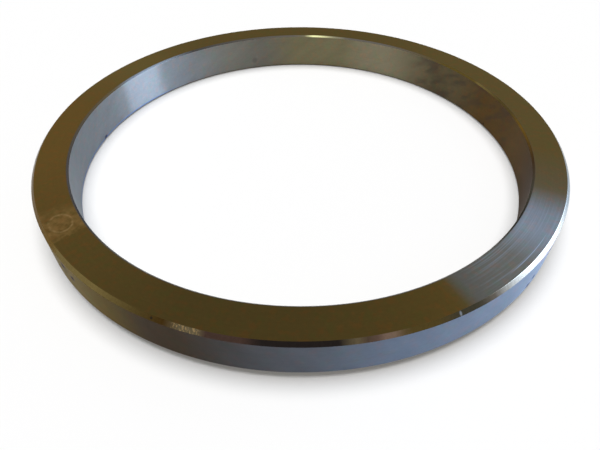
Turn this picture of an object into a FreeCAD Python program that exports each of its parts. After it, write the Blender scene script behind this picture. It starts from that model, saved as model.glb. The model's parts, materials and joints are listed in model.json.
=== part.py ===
# Seamless rolled ring, machined all over.
#
# One piece of steel: a rectangular section turned about Z, with its four rims chamfered
# and the few small dents that its walls carry. The ring lies flat on its lower face.
# The origin is the centre of that face, and +Z runs up the ring's axis.
# Lengths are in millimetres. Angles are in degrees about +Z, from +X towards +Y.

import FreeCAD
import Part
import Sketcher

import os

# Driving sizes: name, value and what it measures.
SIZES = (
    ("outer_diameter", 450.0, "across the outer wall"),
    ("wall_thickness", 28.0, "radial thickness, from the bore to the outer wall"),
    ("ring_height", 37.0, "from the lower face to the upper face"),
    ("upper_outer_chamfer", 2.5, "leg of the 45 degree chamfer between upper face and outer wall"),
    ("lower_outer_chamfer", 7.0, "leg of the 45 degree chamfer between lower face and outer wall"),
    ("upper_bore_chamfer", 1.5, "leg of the 45 degree chamfer between upper face and bore"),
    ("lower_bore_chamfer", 1.5, "leg of the 45 degree chamfer between lower face and bore"),
    ("dent_radius", 2.0, "radius of the round bottom of a dent"),
    ("dent_depth", 0.8, "how far a dent reaches behind the wall"),
)

# Dents: name, wall, angle round the ring, face that the distance is counted from, distance.
DENTS = (
    ("right_upper_dent", "outer", 319.5, "upper", 6.5),
    ("right_middle_dent", "outer", 316.0, "lower", 14.0),
    ("right_lower_dent", "outer", 314.5, "lower", 10.0),
    ("left_upper_dent", "outer", 225.0, "upper", 8.5),
    ("left_lower_dent", "outer", 227.5, "upper", 13.5),
    ("bore_rim_dent", "bore", 170.0, "lower", 2.5),
)

OUTER_RADIUS = "sizes.outer_diameter / 2"
BORE_RADIUS = OUTER_RADIUS + " - sizes.wall_thickness"

# How a dent's round is placed, by the wall that it dents and by the face that it is
# measured from. Its seam faces away from the metal: outwards, or inwards in the bore.
DENT_ANGLE = "(sizes.{0}_angle * 1 deg)"
DENT_REACH = {
    "outer": "(" + OUTER_RADIUS + " - sizes.dent_depth + sizes.dent_radius)",
    "bore": "(" + BORE_RADIUS + " + sizes.dent_depth - sizes.dent_radius)",
}
DENT_SEAM = {"outer": DENT_ANGLE, "bore": DENT_ANGLE + " + 180 deg"}
DENT_HEIGHT = {
    "upper": "sizes.ring_height - sizes.{0}_distance",
    "lower": "sizes.{0}_distance",
}


def add_sizes(doc):
    """Write every driving size to a spreadsheet, one named cell to a line."""
    rows = list(SIZES)
    for name, wall, angle, face, distance in DENTS:
        rows.append((name + "_angle", angle, "place of the dent round the " + wall + " wall"))
        rows.append((name + "_distance", distance, "dent centre from the " + face + " face"))
    sheet = doc.addObject("Spreadsheet::Sheet", "sizes")
    for row, (name, value, meaning) in enumerate(rows, start=1):
        sheet.set("A%d" % row, name.replace("_", " "))
        sheet.set("B%d" % row, str(value))
        sheet.set("C%d" % row, meaning)
        sheet.setAlias("B%d" % row, name)
    doc.recompute()
    return sheet


def origin_plane(body, role):
    """The body's own origin plane of that role."""
    return next(item for item in body.Origin.OriginFeatures if item.Role == role)


def add_section(body, sheet):
    """Sketch the rectangular section in the XZ plane, its lower side on the X axis."""
    sketch = body.newObject("Sketcher::SketchObject", "section")
    sketch.AttachmentSupport = [(origin_plane(body, "XZ_Plane"), "")]
    sketch.MapMode = "FlatFace"
    far = sheet.outer_diameter / 2
    near = far - sheet.wall_thickness
    top = sheet.ring_height
    corners = [
        FreeCAD.Vector(near, 0, 0),
        FreeCAD.Vector(far, 0, 0),
        FreeCAD.Vector(far, top, 0),
        FreeCAD.Vector(near, top, 0),
    ]
    sides = [
        sketch.addGeometry(Part.LineSegment(start, end), False)
        for start, end in zip(corners, corners[1:] + corners[:1])
    ]
    for side, following in zip(sides, sides[1:] + sides[:1]):
        sketch.addConstraint(Sketcher.Constraint("Coincident", side, 2, following, 1))
    lower, outer, upper, bore = sides
    for side in (lower, upper):
        sketch.addConstraint(Sketcher.Constraint("Horizontal", side))
    for side in (outer, bore):
        sketch.addConstraint(Sketcher.Constraint("Vertical", side))
    sketch.addConstraint(Sketcher.Constraint("PointOnObject", lower, 1, -1))
    hold_start(sketch, "bore_radius", "DistanceX", lower, BORE_RADIUS)
    hold_start(sketch, "outer_radius", "DistanceX", outer, OUTER_RADIUS)
    hold_start(sketch, "height", "DistanceY", upper, "sizes.ring_height")
    body.Document.recompute()
    return sketch


def hold_start(sketch, name, kind, side, formula):
    """Hold a side's first point at the distance from the sketch's origin that the formula gives."""
    number = sketch.addConstraint(Sketcher.Constraint(kind, -1, 1, side, 1, 1.0))
    sketch.renameConstraint(number, name)
    sketch.setExpression("Constraints." + name, formula)


def add_blank(body, section):
    """Turn the section about the vertical axis into the plain ring."""
    blank = body.newObject("PartDesign::Revolution", "blank")
    blank.Profile = section
    blank.ReferenceAxis = (section, ["V_Axis"])
    blank.Angle = 360.0
    body.Document.recompute()
    return blank


def rim_name(feature, radius, height):
    """Name of the feature's circular edge of that radius at that height."""
    slack = 1e-6
    for number, edge in enumerate(feature.Shape.Edges, start=1):
        if not isinstance(edge.Curve, Part.Circle):
            continue
        miss = (edge.Curve.Radius - radius, edge.Curve.Center.z - height)
        if max(miss) < slack and min(miss) > -slack:
            return "Edge%d" % number
    raise ValueError("no rim of radius %.3f at height %.3f" % (radius, height))


def add_chamfers(body, section, blank):
    """Break the four rims, each with its own 45 degree chamfer."""
    outer_radius = section.getDatum("outer_radius").Value
    bore_radius = section.getDatum("bore_radius").Value
    top = section.getDatum("height").Value
    rims = (
        ("upper_outer_chamfer", outer_radius, top),
        ("lower_outer_chamfer", outer_radius, 0),
        ("upper_bore_chamfer", bore_radius, top),
        ("lower_bore_chamfer", bore_radius, 0),
    )
    last = blank
    for name, radius, height in rims:
        chamfer = body.newObject("PartDesign::Chamfer", name)
        chamfer.Base = (last, [rim_name(last, radius, height)])
        chamfer.setExpression("Size", "sizes." + name)
        body.Document.recompute()
        check_cut(name, last.Shape.Volume - chamfer.Shape.Volume)
        last = chamfer
    return last


def add_dent(body, name, wall, face):
    """Sink the round bottom of one small dent into a wall of the ring."""
    metal = body.Tip.Shape.copy()
    dent = body.newObject("PartDesign::SubtractiveSphere", name)
    dent.AttachmentSupport = [(origin_plane(body, "XY_Plane"), "")]
    dent.MapMode = "FlatFace"
    angle = DENT_ANGLE.format(name)
    formulas = {
        "Radius": "sizes.dent_radius",
        "AttachmentOffset.Base.x": DENT_REACH[wall] + " * cos" + angle,
        "AttachmentOffset.Base.y": DENT_REACH[wall] + " * sin" + angle,
        "AttachmentOffset.Base.z": DENT_HEIGHT[face].format(name),
        "AttachmentOffset.Rotation.Angle": DENT_SEAM[wall].format(name),
    }
    for target, formula in formulas.items():
        dent.setExpression(target, formula)
    body.Document.recompute()
    ball = dent.AddSubShape.copy()
    ball.Placement = dent.Placement
    check_cut(name, metal.common(ball).Volume)
    return dent


def check_cut(name, taken):
    """Stop if a chamfer or a dent takes no metal away."""
    if taken <= 0:
        raise ValueError(name + " takes nothing away")


def check_document(doc):
    """Stop before anything is written if an object or the ring's solid is faulty."""
    for item in doc.Objects:
        if "Invalid" in item.State or "Error" in item.State:
            raise ValueError(item.Name + " failed: " + ", ".join(item.State))
    for body in doc.findObjects("PartDesign::Body"):
        shape = body.Shape
        if shape.isNull() or not shape.isValid() or len(shape.Solids) != 1:
            raise ValueError(body.Label + " is not one valid solid")


def add_ring(doc, sheet):
    """The whole ring: blank, chamfered rims and dents."""
    body = doc.addObject("PartDesign::Body", "ring")
    body.Label = "ring"
    body.Placement = FreeCAD.Placement()
    section = add_section(body, sheet)
    blank = add_blank(body, section)
    body.Tip = add_chamfers(body, section, blank)
    for name, wall, _, face, _ in DENTS:
        body.Tip = add_dent(body, name, wall, face)
    doc.recompute()


def main():
    doc = FreeCAD.newDocument("rolled_ring")
    sheet = add_sizes(doc)
    add_ring(doc, sheet)
    check_document(doc)
    os.makedirs("parts", exist_ok=True)
    for body in doc.findObjects("PartDesign::Body"):
        body.Shape.exportStep("parts/" + body.Label + ".step")


main()
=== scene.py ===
"""Looks of the seamless rolled ring: one turned steel ring on a pale floor in soft studio light.

The ring is one smooth mesh, revolved from the CAD's own section, with the CAD's dents.
Lengths are in metres, angles in degrees about +Z from +X towards +Y.
"""

import json
import math

import bpy
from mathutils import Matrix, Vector


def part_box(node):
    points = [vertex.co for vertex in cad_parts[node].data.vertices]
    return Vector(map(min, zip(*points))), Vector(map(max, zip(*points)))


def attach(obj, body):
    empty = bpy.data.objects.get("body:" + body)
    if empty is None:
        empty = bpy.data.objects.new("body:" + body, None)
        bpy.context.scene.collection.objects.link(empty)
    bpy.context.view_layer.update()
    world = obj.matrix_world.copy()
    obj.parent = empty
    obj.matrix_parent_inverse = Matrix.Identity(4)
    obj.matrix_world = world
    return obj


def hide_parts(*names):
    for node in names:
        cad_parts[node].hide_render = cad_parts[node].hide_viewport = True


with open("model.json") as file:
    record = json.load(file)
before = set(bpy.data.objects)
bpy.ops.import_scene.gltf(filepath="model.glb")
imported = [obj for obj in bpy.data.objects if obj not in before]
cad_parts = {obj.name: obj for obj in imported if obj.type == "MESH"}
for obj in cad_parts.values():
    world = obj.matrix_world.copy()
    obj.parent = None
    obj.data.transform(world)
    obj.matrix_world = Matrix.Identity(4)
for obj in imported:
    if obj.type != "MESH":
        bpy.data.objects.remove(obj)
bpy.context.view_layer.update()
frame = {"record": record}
scene = bpy.context.scene

MM = 0.001

# Sizes of the ring, from the CAD box and the record.
RING_LOW, RING_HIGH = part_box("ring")
OUTER_RADIUS = (RING_HIGH.x - RING_LOW.x) / 2
HEIGHT = RING_HIGH.z - RING_LOW.z
MOUNTS = {mount["name"]: mount for mount in frame["record"]["mounts"]}
BORE_RADIUS = MOUNTS["bore"]["dims"]["r_mm"] * MM

# Sizes that the record doesn't hold, as in the CAD source.
UPPER_OUTER_CHAMFER = 2.5 * MM
LOWER_OUTER_CHAMFER = 7.0 * MM
BORE_CHAMFER = 1.5 * MM
DENT_RADIUS = 2.0 * MM
DENT_DEPTH = 0.8 * MM
OUTER_DENTS = (
    (319.5, HEIGHT - 6.5 * MM),
    (316.0, 14.0 * MM),
    (314.5, 10.0 * MM),
    (225.0, HEIGHT - 8.5 * MM),
    (227.5, HEIGHT - 13.5 * MM),
)
BORE_DENTS = ((170.0, 2.5 * MM),)

# Faces of the ring, in the order of its material slots.
TOP, OUTER_WALL, BORE_WALL, OUTER_RIM, BORE_RIM, UNDERSIDE = range(6)


def srgb(red, green, blue):
    """A colour written as the eye sees it, 0 to 255, as linear light."""
    def linear(value):
        value /= 255.0
        return value / 12.92 if value <= 0.04045 else ((value + 0.055) / 1.055) ** 2.4

    return (linear(red), linear(green), linear(blue), 1.0)


# Tones of the turned steel, which round the ring hold painted reflections of a warm room and of a cool
# window. First the warm ones.
OLIVE = srgb(95, 80, 40)
DARK_OLIVE = srgb(87, 71, 35)
DEEP_OLIVE = srgb(77, 64, 33)
MOSS = srgb(90, 75, 35)
BRONZE = srgb(102, 78, 28)
KHAKI = srgb(110, 95, 55)
DRAB = srgb(94, 84, 62)
SAGE = srgb(120, 114, 88)
TAUPE = srgb(134, 127, 105)
TAN = srgb(135, 105, 60)
PALE_TAN = srgb(168, 140, 95)
UMBER = srgb(92, 71, 40)
DARK_UMBER = srgb(58, 38, 12)

# Grey and blue tones.
DUST = srgb(100, 95, 88)
PEWTER = srgb(110, 108, 100)
STEEL = srgb(125, 125, 119)
GREY_STEEL = srgb(88, 87, 83)
DUSK_STEEL = srgb(111, 119, 131)
COOL_STEEL = srgb(133, 141, 151)
PALE_STEEL = srgb(155, 165, 180)
ROSY_STEEL = srgb(120, 100, 87)
DULL_BLUE = srgb(93, 99, 110)
BLUE_GREY = srgb(110, 125, 148)
BLUE_STEEL = srgb(126, 142, 168)
PALE_BLUE = srgb(150, 165, 192)
VIVID_BLUE = srgb(112, 140, 190)
LILAC = srgb(166, 157, 180)

# Bright tones, where the chamfers catch the light.
OLD_GOLD = srgb(152, 147, 118)
WARM_WHITE = srgb(252, 252, 190)
SKY_STEEL = srgb(170, 188, 204)
BRIGHT_STEEL = srgb(214, 222, 227)

# Dark tones, most of them for painted dark reflections and painted shade.
SMOKE = srgb(70, 67, 66)
BROWN_SMOKE = srgb(68, 58, 47)
PLUM = srgb(62, 54, 51)
RUSSET = srgb(66, 50, 43)
IRON = srgb(59, 56, 44)
NEAR_BLACK = srgb(34, 29, 27)
INDIGO = srgb(44, 44, 84)


# Shape ---------------------------------------------------------------------------------

# How far the tiny round at each corner of the section reaches along both sides.
ROUND_OFF = 0.22 * MM

# Distance from a corner's round to the first row of mesh beside it.
SUPPORT = 0.3 * MM

# Columns of mesh round the ring, and the closer ones at each dent, in degrees.
EVEN_COLUMNS = 480
DENT_COLUMN_STEP = 0.1
DENT_COLUMNS = 6


def rounded_section():
    """Points (radius, height, face) round the section, with tiny rounds where faces meet.

    Each point's face is that of the strip of mesh that starts there. Each corner gives its
    place, the face that follows it and the distance in millimetres between rows on that face.
    """
    top, ro, ri = HEIGHT, OUTER_RADIUS, BORE_RADIUS
    uo, lo, b = UPPER_OUTER_CHAMFER, LOWER_OUTER_CHAMFER, BORE_CHAMFER
    corners = (
        ((ri + b, top), TOP, 3.0),
        ((ro - uo, top), OUTER_RIM, 1.2),
        ((ro, top - uo), OUTER_WALL, 0.45),
        ((ro, lo), UNDERSIDE, 2.0),
        ((ro - lo, 0.0), UNDERSIDE, 5.0),
        ((ri + b, 0.0), UNDERSIDE, 0.5),
        ((ri, b), BORE_WALL, 0.0),
        ((ri, top - b), BORE_RIM, 0.5),
    )
    points = []
    for i, (corner, face, step) in enumerate(corners):
        here = Vector(corner)
        before = Vector(corners[i - 1][0])
        after = Vector(corners[(i + 1) % len(corners)][0])
        into, out = (here - before).normalized(), (after - here).normalized()
        for share in (-1.0, -0.5, 0.0, 0.5):
            if share < 0:
                base = here + into * ROUND_OFF * share
                point = base + out * ROUND_OFF * 0.25 * (1 + share) ** 2
            elif share > 0:
                base = here + out * ROUND_OFF * share
                point = base - into * ROUND_OFF * 0.25 * (1 - share) ** 2
            else:
                point = here - (into - out) * ROUND_OFF * 0.25
            points.append((point.x, point.y, corners[i - 1][1] if share < -0.6 else face))
        start, end = here + out * ROUND_OFF, after - out * ROUND_OFF
        for point in run(start, end, face, step):
            points.append((point.x, point.y, face))
    return points


def run(start, end, face, step_mm):
    """Points along one straight side of the section.

    The bore wall runs up from its dented lower edge, so its rows are close together there.
    """
    length = (end - start).length
    if face == BORE_WALL:
        fine = [0.4 * MM * k for k in range(1, 9)]
        coarse = [6.0 * MM + 2.8 * MM * k for k in range(9)]
        marks = fine + coarse
    else:
        count = max(1, round(length / (step_mm * MM)))
        marks = [SUPPORT] + [length * k / count for k in range(1, count)]
    marks = sorted(d for d in marks if d < length - SUPPORT) + [length - SUPPORT]
    direction = (end - start).normalized()
    return [start] + [start + direction * d for d in marks]


def azimuths():
    """Angles of the mesh's columns in degrees, even, and closer together at each dent."""
    angles = {round(360.0 * k / EVEN_COLUMNS, 4) for k in range(EVEN_COLUMNS)}
    for angle, _ in OUTER_DENTS + BORE_DENTS:
        for k in range(-DENT_COLUMNS, DENT_COLUMNS + 1):
            angles.add(round(angle + DENT_COLUMN_STEP * k, 4))
    return sorted(angles)


def sink(angle, radius, height):
    """The radius at a point of the surface once the dents there are sunk into the walls."""
    farthest_turn = 0.02
    outer = radius > (OUTER_RADIUS + BORE_RADIUS) / 2
    side, wall, dents = (1, OUTER_RADIUS, OUTER_DENTS) if outer else (-1, BORE_RADIUS, BORE_DENTS)
    centre = wall + side * (DENT_RADIUS - DENT_DEPTH)
    for dent_angle, dent_height in dents:
        turn = math.radians(angle - dent_angle)
        if abs(turn) > farthest_turn:
            continue
        across, up = radius * math.sin(turn), height - dent_height
        gap = DENT_RADIUS ** 2 - across ** 2 - up ** 2
        if gap > 0:
            reach = (centre - side * math.sqrt(gap)) / math.cos(turn)
            radius = side * min(side * radius, side * reach)
    return radius


def build_ring():
    """The ring's mesh: its section carried round, column by column."""
    section = rounded_section()
    angles = azimuths()
    vertices = []
    for angle in angles:
        turn = math.radians(angle)
        for radius, height, _ in section:
            r = sink(angle, radius, height)
            vertices.append((r * math.cos(turn), r * math.sin(turn), height))
    rows = len(section)
    faces, slots = [], []
    for column in range(len(angles)):
        here, there = column * rows, ((column + 1) % len(angles)) * rows
        for row in range(rows):
            following = (row + 1) % rows
            faces.append((here + row, here + following, there + following, there + row))
            slots.append(section[row][2])
    mesh = bpy.data.meshes.new("rolled_ring")
    mesh.from_pydata(vertices, [], faces)
    mesh.polygons.foreach_set("material_index", slots)
    mesh.polygons.foreach_set("use_smooth", [True] * len(faces))
    mesh.validate()
    mesh.update()
    ring = bpy.data.objects.new("rolled_ring", mesh)
    scene.collection.objects.link(ring)
    return ring


# Materials -----------------------------------------------------------------------------


class Finish:
    """Node code for one machined finish, in cylindrical coordinates round the ring's axis.

    azimuth is in degrees. radius and height are in millimetres.
    """

    def __init__(self, name):
        self.material = bpy.data.materials.new(name)
        self.material.use_nodes = True
        self.tree = self.material.node_tree
        self.shader = self.tree.nodes["Principled BSDF"]
        self.place = self.tree.nodes.new("ShaderNodeTexCoord").outputs["Object"]
        split = self.tree.nodes.new("ShaderNodeSeparateXYZ")
        self.tree.links.new(self.place, split.inputs[0])
        x, y, z = split.outputs
        self.turn = self.math("ARCTAN2", y, x)
        self.azimuth = self.math("WRAP", self.math("DEGREES", self.turn), 360.0, 0.0)
        square = self.math("MULTIPLY_ADD", x, x, self.math("MULTIPLY", y, y))
        self.radius = self.math("DIVIDE", self.math("SQRT", square), MM)
        self.height = self.math("DIVIDE", z, MM)

    def feed(self, socket, value):
        """Link a socket to another one, or give it a plain value."""
        if isinstance(value, bpy.types.NodeSocket):
            self.tree.links.new(value, socket)
        else:
            socket.default_value = value

    def math(self, kind, *values):
        """One step of arithmetic on sockets or numbers."""
        node = self.tree.nodes.new("ShaderNodeMath")
        node.operation = kind
        for socket, value in zip(node.inputs, values):
            self.feed(socket, value)
        return node.outputs[0]

    def times(self, first, *others):
        """The product of all the values."""
        for other in others:
            first = self.math("MULTIPLY", first, other)
        return first

    def rise(self, value, low, high):
        """0 below low and 1 above high, with a smooth passage between."""
        node = self.tree.nodes.new("ShaderNodeMapRange")
        node.interpolation_type = "SMOOTHSTEP"
        self.feed(node.inputs["Value"], value)
        node.inputs["From Min"].default_value = low
        node.inputs["From Max"].default_value = high
        return node.outputs["Result"]

    def fall(self, value, low, high):
        """1 below low and 0 above high."""
        return self.math("SUBTRACT", 1.0, self.rise(value, low, high))

    def between(self, value, low, high, soft):
        """1 between low and high, with smooth passages as wide as soft."""
        up = self.rise(value, low - soft / 2, low + soft / 2)
        return self.math("SUBTRACT", up, self.rise(value, high - soft / 2, high + soft / 2))

    def grain(self, along, across, height=None, detail=2.0, roughness=0.5, lean=0.0, seed=0.0):
        """Noise from 0 to 1 whose spots are along mm long round the ring and across mm wide.

        lean turns the spots: degrees of azimuth that they drift by for each mm across.
        """
        level = self.radius if height is None else height
        turn = self.turn
        if lean:
            turn = self.math("MULTIPLY_ADD", level, math.radians(lean), turn)
        reach = OUTER_RADIUS / MM / along
        join = self.tree.nodes.new("ShaderNodeCombineXYZ")
        self.feed(join.inputs[0], self.times(self.math("COSINE", turn), reach))
        self.feed(join.inputs[1], self.times(self.math("SINE", turn), reach))
        self.feed(join.inputs[2], self.math("MULTIPLY_ADD", level, 1.0 / across, seed))
        node = self.tree.nodes.new("ShaderNodeTexNoise")
        node.inputs["Scale"].default_value = 1.0
        node.inputs["Detail"].default_value = detail
        node.inputs["Roughness"].default_value = roughness
        self.tree.links.new(join.outputs[0], node.inputs["Vector"])
        return node.outputs["Fac"]

    def oval(self, azimuth, level, along, across, height=None):
        """Distance from the centre of an oval mark, which is 1 on its outline."""
        centre = self.radius if height is None else height
        side = math.degrees(along * MM / OUTER_RADIUS)
        u = self.math("DIVIDE", self.math("SUBTRACT", self.azimuth, azimuth), side)
        v = self.math("DIVIDE", self.math("SUBTRACT", centre, level), across)
        return self.math("SQRT", self.math("MULTIPLY_ADD", u, u, self.math("MULTIPLY", v, v)))

    def tones(self, stops):
        """A colour that changes round the ring, through (azimuth, colour) stops from 0 on."""
        node = self.tree.nodes.new("ShaderNodeValToRGB")
        self.feed(node.inputs[0], self.math("DIVIDE", self.azimuth, 360.0))
        stops += ((360, stops[0][1]),)
        elements = node.color_ramp.elements
        while len(elements) < len(stops):
            elements.new(0.5)
        for element, (angle, colour) in zip(elements, stops):
            element.position = angle / 360.0
            element.color = colour
        return node.outputs["Color"]

    def mix(self, factor, one, two, kind="MIX"):
        """Colour one, turning to colour two as factor goes from 0 to 1."""
        node = self.tree.nodes.new("ShaderNodeMix")
        node.data_type = "RGBA"
        node.blend_type = kind
        self.feed(node.inputs[0], factor)
        self.feed(node.inputs[6], one)
        self.feed(node.inputs[7], two)
        return node.outputs[2]

    def vary(self, colour, value, amount):
        """Darken and brighten colour, by amount at most, as value goes from 0.25 to 0.75."""
        scale = self.tree.nodes.new("ShaderNodeVectorMath")
        scale.operation = "SCALE"
        self.feed(scale.inputs[0], colour)
        self.feed(scale.inputs["Scale"], self.math("MULTIPLY_ADD", value, 4 * amount, 1 - 2 * amount))
        return scale.outputs[0]

    def turned(self, colour, pitch, height=None):
        """Faint turning marks, pitch mm apart, and a fine speckle. Gives the marks as well."""
        marks = self.grain(60.0, pitch, height, detail=3.0, roughness=0.6)
        speckle = self.grain(3.0, 2.0, height, detail=3.0, roughness=0.6, seed=60.0)
        colour = self.vary(colour, marks, 0.035)
        return self.vary(colour, speckle, 0.05), marks

    def colour_spot(self, colour, other, amount, azimuth, level, along, across, height=None):
        """Blend another colour into an oval spot, fading out to its outline. Most spots hold painted
        shade, painted highlights and painted reflections.
        """
        spot = self.fall(self.oval(azimuth, level, along, across, height), 0.3, 1.0)
        return self.mix(self.times(spot, amount), colour, other)

    def mottle(self, colour, amount, size, height=None):
        """Faint patches of warmer and greener steel, size mm across."""
        casts = (
            (self.grain(size, size, height, detail=3.0, seed=3.0), (1.35, 0.95, 0.85, 1.0)),
            (self.grain(size * 1.4, size * 1.4, height, detail=3.0, seed=11.0), (0.85, 1.08, 0.95, 1.0)),
        )
        for patches, cast in casts:
            share = self.times(self.rise(patches, 0.48, 0.7), amount)
            colour = self.mix(share, colour, cast, "MULTIPLY")
        return colour

    def done(self, colour, bump, depth, roughness, anisotropy):
        """Metal of that colour, its gloss drawn out across the turning marks."""
        shader = self.shader
        self.feed(shader.inputs["Base Color"], colour)
        shader.inputs["Metallic"].default_value = 1.0
        shader.inputs["Specular Tint"].default_value = (0.7, 0.7, 0.7, 1.0)
        shader.inputs["Roughness"].default_value = roughness
        shader.inputs["Anisotropic"].default_value = anisotropy
        shader.inputs["Anisotropic Rotation"].default_value = 0.25
        round_axis = self.tree.nodes.new("ShaderNodeTangent")
        round_axis.direction_type = "RADIAL"
        round_axis.axis = "Z"
        self.tree.links.new(round_axis.outputs[0], shader.inputs["Tangent"])
        relief = self.tree.nodes.new("ShaderNodeBump")
        relief.inputs["Strength"].default_value = 1.0
        relief.inputs["Distance"].default_value = depth * MM
        self.feed(relief.inputs["Height"], bump)
        self.tree.links.new(relief.outputs[0], shader.inputs["Normal"])
        return self.material


def top_face():
    """Turned steel with painted reflections, olive round most of the ring and a grey and blue band at
    the right, with a test mark and fine scratches.
    """
    f = Finish("turned_top")
    # Painted reflections round the face: olive from a warm room, and grey and blue steel in the window's
    # fan, which the window lamp brightens as well.
    colour = f.tones((
        (0, OLIVE), (40, OLIVE), (70, MOSS), (150, MOSS), (172, BRONZE), (192, BRONZE),
        (230, DARK_OLIVE), (250, DEEP_OLIVE), (270, DEEP_OLIVE), (296.5, DARK_OLIVE),
        (299, GREY_STEEL), (312, GREY_STEEL), (321, DUSK_STEEL), (327, DUSK_STEEL),
        (335, DRAB), (350, OLIVE),
    ))
    colour, marks = f.turned(colour, 0.7)
    # The window's fan, where pale streaks of painted reflection run round the face.
    window_fan = f.between(f.azimuth, 303.0, 330.0, 9.0)
    streaks = f.grain(90.0, 0.8, detail=2.0, seed=40.0)
    colour = f.mix(f.times(window_fan, f.rise(streaks, 0.4, 0.8), 0.2), colour, PALE_BLUE)
    colour = f.mottle(colour, 0.5, 5.0)

    cloud = f.grain(6.0, 6.0, detail=4.0, roughness=0.65, seed=20.0)
    ragged = f.math("MULTIPLY_ADD", cloud, 4.0, f.azimuth)
    patch = f.times(f.rise(ragged, 212.4, 217.6), f.fall(ragged, 222.2, 223.4))
    blotch = f.grain(4.5, 4.5, detail=3.0, seed=28.0)
    colour = f.mix(f.times(patch, f.rise(blotch, 0.2, 0.8), 0.8), colour, TAN)
    mark = f.math("MULTIPLY_ADD", blotch, 0.22, f.oval(216.8, 211.6, 10.0, 7.8))
    line = f.times(f.between(mark, 1.04, 1.2, 0.14), f.rise(cloud, 0.36, 0.66))
    colour = f.mix(f.times(line, 0.4), colour, PALE_TAN)

    line = f.between(f.radius, 218.1, 218.5, 0.3)
    scratch = f.times(line, f.between(f.azimuth, 309.0, 320.0, 5.0))
    colour = f.mix(f.times(scratch, 0.6), colour, PALE_BLUE)
    edge = f.fall(f.radius, 198.7, 199.3)
    colour = f.mix(f.times(edge, 0.3), colour, SMOKE)
    return f.done(colour, marks, 0.004, 0.45, 0.95)


def outer_wall():
    """The turned outer wall, with painted reflections: khaki at the left, smoky at the front, blue to
    the right.
    """
    f = Finish("turned_outer_wall")
    colour = f.tones((
        (0, STEEL), (60, SAGE), (150, SAGE), (219, KHAKI), (229, KHAKI), (237, OLIVE),
        (245, BROWN_SMOKE), (251, BROWN_SMOKE), (257, SMOKE), (272, DULL_BLUE),
        (285, BLUE_GREY), (300, BLUE_STEEL), (320, BLUE_STEEL), (340, COOL_STEEL),
    ))
    colour, marks = f.turned(colour, 0.8, f.height)
    haze = f.grain(14.0, 22.0, f.height, detail=3.0, lean=0.15, seed=5.0)
    colour = f.vary(colour, haze, 0.07)
    colour = f.mottle(colour, 0.4, 6.0, f.height)
    # Painted reflection: a lilac glow below the bright rim at the right.
    colour = f.colour_spot(colour, LILAC, 0.8, 318.0, 33.0, 20.0, 6.0, f.height)
    # A darker patch round the two dents at the left.
    colour = f.colour_spot(colour, BROWN_SMOKE, 0.6, 225.0, 25.5, 4.5, 8.0, f.height)
    # Painted shade in each dent, a dark blue spot.
    for azimuth, height in OUTER_DENTS:
        colour = f.colour_spot(colour, INDIGO, 0.9, azimuth, height / MM, 4.0, 3.0, f.height)
    return f.done(colour, marks, 0.004, 0.45, 0.95)


def bore_wall():
    """The turned bore, with painted reflections: brown and clouded at the right, sage at the back, steel
    at the left.
    """
    f = Finish("turned_bore")
    # Painted reflections round the bore, with the window's pale fan at the left, which the window lamp
    # brightens as well.
    colour = f.tones((
        (0, UMBER), (20, UMBER), (32, DRAB), (40, DRAB), (60, TAUPE), (67, TAUPE), (75, SAGE),
        (92, SAGE), (103, PEWTER), (116, STEEL), (133, COOL_STEEL), (140, COOL_STEEL),
        (143.5, PALE_STEEL), (154.5, PALE_STEEL), (157.5, COOL_STEEL), (205, COOL_STEEL),
        (250, STEEL), (300, DRAB), (328, DARK_UMBER), (338, DARK_UMBER),
    ))
    colour, marks = f.turned(colour, 0.8, f.height)
    haze = f.grain(16.0, 18.0, f.height, detail=3.0, lean=0.4, seed=5.0)
    colour = f.vary(colour, haze, 0.07)
    clouded = f.between(f.azimuth, 4.0, 48.0, 8.0)
    cloud = f.grain(17.0, 13.0, f.height, detail=2.0, roughness=0.5, lean=0.3, seed=14.0)
    colour = f.mix(f.times(clouded, f.rise(cloud, 0.4, 0.7), 0.5), colour, PLUM)
    colour = f.mottle(colour, 0.5, 5.0, f.height)
    low_edge = f.times(f.fall(f.height, 2.0, 3.6), f.between(f.azimuth, 140.0, 212.0, 14.0))
    colour = f.mix(f.times(low_edge, 0.85), colour, VIVID_BLUE)
    # Painted shade in the dent at the lower edge.
    colour = f.colour_spot(colour, INDIGO, 0.9, 170.2, 2.8, 4.4, 2.4, f.height)
    # Painted shade of a small nick at the lower edge.
    colour = f.colour_spot(colour, NEAR_BLACK, 0.8, 16.7, 3.6, 2.4, 1.8, f.height)
    # A darker patch at the back of the bore.
    colour = f.colour_spot(colour, SMOKE, 0.35, 106.5, 10.0, 5.0, 5.0, f.height)
    return f.done(colour, marks, 0.004, 0.45, 0.95)


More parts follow.
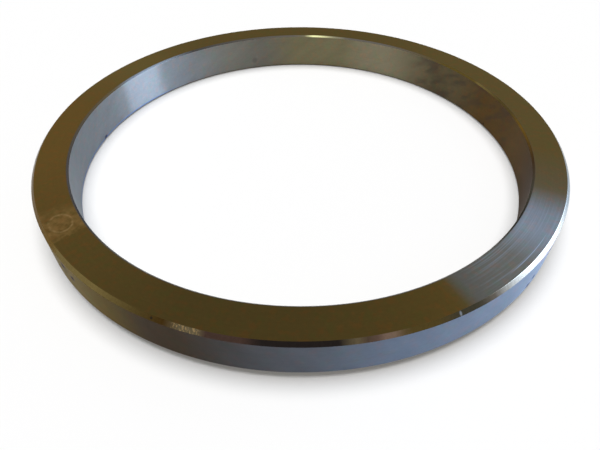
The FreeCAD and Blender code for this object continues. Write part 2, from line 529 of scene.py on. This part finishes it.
def outer_rim():
    """The cut chamfer outside the upper face, with a painted highlight at the right and a painted dark
    reflection at the front.
    """
    f = Finish("cut_outer_rim")
    # Painted reflections round the chamfer: near black at the front, tan and rosy slivers beside it, and
    # a bright highlight at the right.
    colour = f.tones((
        (0, PEWTER), (150, SAGE), (200, BRONZE), (221.5, BRONZE), (223.5, KHAKI), (235, KHAKI),
        (244, DEEP_OLIVE), (250, DARK_UMBER), (250.6, DRAB), (254.8, DRAB), (255.4, RUSSET),
        (262, RUSSET), (263.5, NEAR_BLACK), (276, NEAR_BLACK), (278, DRAB), (280.5, RUSSET),
        (283.3, ROSY_STEEL), (286, DEEP_OLIVE), (291, DEEP_OLIVE), (295, IRON), (299, IRON),
        (302.5, DUST), (309, BRIGHT_STEEL), (326, BRIGHT_STEEL), (333, SKY_STEEL),
    ))
    grain = f.grain(1.2, 1.2, detail=3.0, seed=7.0)
    colour = f.vary(colour, grain, 0.12)
    # Painted reflection: pale flecks in the tan sliver.
    flecks = f.times(f.between(f.azimuth, 250.5, 254.9, 0.5), f.rise(grain, 0.5, 0.62), 0.5)
    colour = f.mix(flecks, colour, PALE_TAN)
    middle = (OUTER_RADIUS - UPPER_OUTER_CHAMFER / 2) / MM
    # A dark spot and a painted highlight spot on the chamfer.
    colour = f.colour_spot(colour, NEAR_BLACK, 0.8, 246.9, middle, 1.3, 0.9)
    colour = f.colour_spot(colour, PALE_STEEL, 0.5, 295.2, middle, 1.2, 1.6)
    return f.done(colour, grain, 0.002, 0.22, 0.3)


def bore_rim():
    """The small chamfers of the bore, with a painted glint at the back and painted dark reflection at
    the front.
    """
    f = Finish("cut_bore_rim")
    colour = f.tones((
        (0, BRONZE), (7, DEEP_OLIVE), (13, DEEP_OLIVE), (23.6, KHAKI), (25.5, MOSS), (38, MOSS),
        (60, DUST), (74, DUST), (79, OLD_GOLD), (84, WARM_WHITE), (86, WARM_WHITE), (88.2, SAGE),
        (92, DUST), (128, SMOKE), (136, DUSK_STEEL), (154, DUSK_STEEL), (160, DRAB), (195, SMOKE),
        (219, SMOKE), (225, IRON), (334, IRON), (345, DARK_UMBER),
    ))
    grain = f.grain(1.2, 1.2, detail=3.0, seed=7.0)
    colour = f.vary(colour, grain, 0.1)
    return f.done(colour, grain, 0.002, 0.22, 0.3)


def underside():
    """The lower face and its wide chamfer, turned like the rest and left duller."""
    f = Finish("turned_underside")
    colour = f.tones(((0, PEWTER), (90, OLIVE), (180, PEWTER), (270, OLIVE)))
    marks = f.grain(60.0, 0.7, detail=3.0, roughness=0.6)
    colour = f.mottle(f.vary(colour, marks, 0.1), 0.4, 9.0)
    return f.done(colour, marks, 0.004, 0.5, 0.9)


def dress(ring):
    """Give the ring its finishes, in the order of the faces."""
    for finish in (top_face, outer_wall, bore_wall, outer_rim, bore_rim, underside):
        ring.data.materials.append(finish())


# Studio --------------------------------------------------------------------------------


# Light that isn't seen or mirrored, the overhead lamp, and the floor's own white.
SOFT_LIGHT = 0.14
KEY_LIGHT = 3.05
FLOOR_GLOW = 0.14

KEY_SIZE = math.radians(42)
KEY_TILT = math.radians(3.5)

WINDOW_AZIMUTH = math.radians(8.5)
WINDOW_DISTANCE = 2.0
WINDOW_SILL = 0.1
WINDOW_WIDTH, WINDOW_HEIGHT = 1.1, 2.2
WINDOW_LEVEL = 3.0
WINDOW_TINT = (0.78, 0.9, 1.0)

# The camera's distance and what it is aimed at, in outer radii from the ring's origin.
CAMERA_DISTANCE = 2.027
CAMERA_ELEVATION = math.radians(36.198)
CAMERA_AIM = (-0.0015, -0.4013)
CAMERA_LENS = 28.46

# How far the floor lies below the ring, and its half width in outer radii.
FLOOR_GAP = 0.02 * MM
FLOOR_REACH = 12


def shown(tree):
    """1 for what the camera sees, also by way of metal and glass, and 0 for other light."""
    path = tree.nodes.new("ShaderNodeLightPath")
    result = path.outputs["Is Camera Ray"]
    for output in ("Is Glossy Ray", "Is Transmission Ray"):
        either = tree.nodes.new("ShaderNodeMath")
        either.operation = "MAXIMUM"
        tree.links.new(result, either.inputs[0])
        tree.links.new(path.outputs[output], either.inputs[1])
        result = either.outputs[0]
    return result


def level(tree, low, high):
    """A value of high for what is shown and of low for other light."""
    node = tree.nodes.new("ShaderNodeMapRange")
    tree.links.new(shown(tree), node.inputs["Value"])
    node.inputs["To Min"].default_value = low
    node.inputs["To Max"].default_value = high
    return node.outputs["Result"]


def add_floor():
    """A white floor that keeps the ring's shadow."""
    size = FLOOR_REACH * OUTER_RADIUS
    low = RING_LOW.z - FLOOR_GAP
    corners = [(-size, -size, low), (size, -size, low), (size, size, low), (-size, size, low)]
    mesh = bpy.data.meshes.new("floor")
    mesh.from_pydata(corners, [], [(0, 1, 2, 3)])
    floor = bpy.data.objects.new("floor", mesh)
    scene.collection.objects.link(floor)
    material = bpy.data.materials.new("pale_floor")
    material.use_nodes = True
    tree = material.node_tree
    lit = tree.nodes["Principled BSDF"]
    lit.inputs["Base Color"].default_value = (0.9, 0.9, 0.9, 1.0)
    lit.inputs["Roughness"].default_value = 0.9
    lit.inputs["Specular IOR Level"].default_value = 0.0
    plain = tree.nodes.new("ShaderNodeEmission")
    both = tree.nodes.new("ShaderNodeMixShader")
    tree.links.new(level(tree, 0.0, FLOOR_GLOW), both.inputs[0])
    tree.links.new(lit.outputs[0], both.inputs[1])
    tree.links.new(plain.outputs[0], both.inputs[2])
    tree.links.new(both.outputs[0], tree.nodes["Material Output"].inputs["Surface"])
    mesh.materials.append(material)


def add_world():
    """White where it is seen or mirrored, and a soft even light for everything else."""
    world = bpy.data.worlds.new("studio")
    world.use_nodes = True
    scene.world = world
    tree = world.node_tree
    background = tree.nodes["Background"]
    background.inputs["Color"].default_value = (1.0, 1.0, 1.0, 1.0)
    tree.links.new(level(tree, SOFT_LIGHT, 1.0), background.inputs["Strength"])


def add_lamp(name, kind, place, towards):
    """A lamp at that place that shines in that direction."""
    data = bpy.data.lights.new(name, kind)
    lamp = bpy.data.objects.new(name, data)
    scene.collection.objects.link(lamp)
    lamp.location = place
    lamp.rotation_mode = "QUATERNION"
    lamp.rotation_quaternion = Vector(towards).to_track_quat("-Z", "Y")
    return lamp


def add_key():
    """A soft lamp overhead and slightly behind the ring, which casts the shadow."""
    towards = (0.0, -math.sin(KEY_TILT), -math.cos(KEY_TILT))
    key = add_lamp("key", "SUN", (0.0, 0.0, 1.0), towards)
    key.data.energy = KEY_LIGHT
    key.data.angle = KEY_SIZE
    key.visible_glossy = False


def add_window():
    """A tall cool window to the right, seen only in the metal."""
    x, y = math.cos(WINDOW_AZIMUTH), math.sin(WINDOW_AZIMUTH)
    place = (WINDOW_DISTANCE * x, WINDOW_DISTANCE * y, WINDOW_SILL + WINDOW_HEIGHT / 2)
    window = add_lamp("window", "AREA", place, (-x, -y, 0.0))
    data = window.data
    data.shape = "RECTANGLE"
    data.size, data.size_y = WINDOW_WIDTH, WINDOW_HEIGHT
    data.color = WINDOW_TINT
    data.energy = WINDOW_LEVEL * math.pi * data.size * data.size_y
    window.visible_diffuse = False
    window.visible_camera = False


def add_camera():
    """A hand-held wide camera in front of the ring, looking down at its near side."""
    data = bpy.data.cameras.new("camera")
    data.sensor_width = 36.0
    data.lens = CAMERA_LENS
    data.clip_start = 0.01
    camera = bpy.data.objects.new("camera", data)
    scene.collection.objects.link(camera)
    distance = CAMERA_DISTANCE * OUTER_RADIUS
    back, up = math.cos(CAMERA_ELEVATION), math.sin(CAMERA_ELEVATION)
    camera.location = (0.0, -distance * back, distance * up)
    aim = Vector((*CAMERA_AIM, 0.0)) * OUTER_RADIUS
    camera.rotation_mode = "QUATERNION"
    camera.rotation_quaternion = (aim - camera.location).to_track_quat("-Z", "Y")
    scene.camera = camera


scene.view_settings.view_transform = "Standard"
ring = build_ring()
dress(ring)
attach(ring, "root")
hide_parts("ring")
add_floor()
add_world()
add_key()
add_window()
add_camera()
